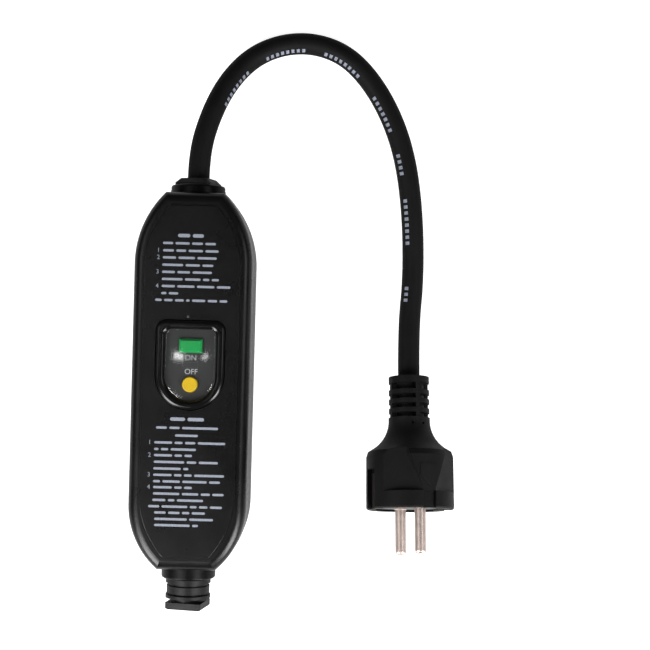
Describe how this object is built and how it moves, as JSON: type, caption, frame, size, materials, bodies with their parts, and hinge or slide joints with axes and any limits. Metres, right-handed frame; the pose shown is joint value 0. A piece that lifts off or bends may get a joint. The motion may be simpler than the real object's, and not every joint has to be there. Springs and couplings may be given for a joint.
{
  "type": "portable residual current device",
  "caption": "Portable residual current device: long rounded box with a window over reset and test buttons, a short lead to an earthed plug, and an open cable outlet.",
  "frame": {"origin": "middle of the housing's flat back, where it lies on a table", "axes": "+Z out of the button face, +Y towards the end that the plug's lead enters, +X towards the plug"},
  "size_m": [0.1399, 0.2539, 0.0415],
  "materials": {
    "housing_plastic": "fine matt moulding",
    "seal_rubber": "soft matt",
    "screw_steel": "zinc plated",
    "bezel_plastic": "glossy",
    "clear_membrane": "clear and glossy",
    "plate_plastic": "satin",
    "lens_plastic": "dark tinted",
    "reset_green": "satin gloss",
    "test_yellow": "satin gloss",
    "collar_plastic": "glossy",
    "grommet_rubber": "satin",
    "inner_plastic": "moulded",
    "board_laminate": "lacquered",
    "contact_brass": "plain",
    "copper": "enamelled wire",
    "sheet_steel": "plain",
    "spring_steel": "bright wire",
    "line_insulation": "brown",
    "neutral_insulation": "blue",
    "earth_insulation": "green with a yellow stripe",
    "plug_lead_insulation": "plain",
    "chip_plastic": "moulded",
    "component_plastic": "sleeved or dipped",
    "lamp_glass": "tinted",
    "cord_rubber": "matt",
    "plug_rubber": "satin",
    "carrier_plastic": "moulded",
    "pin_metal": "nickel plated"
  },
  "bodies": {
    "device": {"back_shell": "housing_plastic", "front_cover": "housing_plastic", "housing_seal": "seal_rubber", "housing_screws": "screw_steel", "board_screws": "screw_steel", "clamp_screws": "screw_steel", "terminal_screws": "screw_steel", "guide_pins": "screw_steel", "window_bezel": "bezel_plastic", "window_membrane": "clear_membrane", "button_plate": "plate_plastic", "indicator_lens": "lens_plastic", "inlet_collar": "collar_plastic", "outlet_collar": "collar_plastic", "inlet_grommet": "grommet_rubber", "outlet_grommet": "grommet_rubber", "inlet_cord_clamp": "inner_plastic", "outlet_cord_clamp": "inner_plastic", "mechanism_frame": "inner_plastic", "coil_bobbin": "inner_plastic", "transformer_holder": "inner_plastic", "terminal_blocks": "inner_plastic", "circuit_board": "board_laminate", "fixed_contacts": "contact_brass", "test_contacts": "contact_brass", "terminal_clamps": "contact_brass", "coil_winding": "copper", "transformer_winding": "copper", "primary_conductors": "copper", "trip_coil_frame": "sheet_steel", "transformer_core": "sheet_steel", "reset_spring": "spring_steel", "test_spring": "spring_steel", "carrier_springs": "spring_steel", "plunger_spring": "spring_steel", "line_lead": "line_insulation", "neutral_lead": "neutral_insulation", "earth_lead": "earth_insulation", "plug_leads": "plug_lead_insulation", "control_chip": "chip_plastic", "diodes": "chip_plastic", "smoothing_capacitor": "component_plastic", "film_capacitor": "component_plastic", "varistor": "component_plastic", "test_resistor": "component_plastic", "indicator_lamp": "lamp_glass", "supply_cord": "cord_rubber", "supply_cord_tail": "cord_rubber", "plug_cord_tail": "cord_rubber", "plug_body": "plug_rubber", "plug_pin_carrier": "carrier_plastic", "plug_pins": "pin_metal", "earth_clips": "pin_metal", "earth_socket": "pin_metal"},
    "reset_button_body": {"reset_button": "reset_green"},
    "test_button_body": {"test_button": "test_yellow"},
    "trip_slide_body": {"trip_plunger": "sheet_steel", "latch_plate": "sheet_steel"},
    "carrier_body": {"contact_carrier": "inner_plastic", "moving_contacts": "contact_brass"}
  },
  "joints": [
    {"name": "reset_press", "type": "slide", "parent": "device", "child": "reset_button_body", "axis": [0, 0, -1], "range_m": [0, 0.0025], "stiffness_N_per_m": 300, "springref_m": -0.002, "deforming": ["reset_spring"]},
    {"name": "test_press", "type": "slide", "parent": "device", "child": "test_button_body", "axis": [0, 0, -1], "range_m": [0, 0.0015], "stiffness_N_per_m": 300, "springref_m": -0.002, "deforming": ["test_spring"]},
    {"name": "trip_pull", "type": "slide", "parent": "device", "child": "trip_slide_body", "axis": [0, -1, 0], "range_m": [0, 0.0025], "stiffness_N_per_m": 200, "springref_m": -0.002, "deforming": ["plunger_spring"]},
    {"name": "contact_close", "type": "slide", "parent": "device", "child": "carrier_body", "axis": [0, 0, 1], "range_m": [0, 0.002], "stiffness_N_per_m": 200, "springref_m": -0.002, "deforming": ["carrier_springs"]}
  ]
}
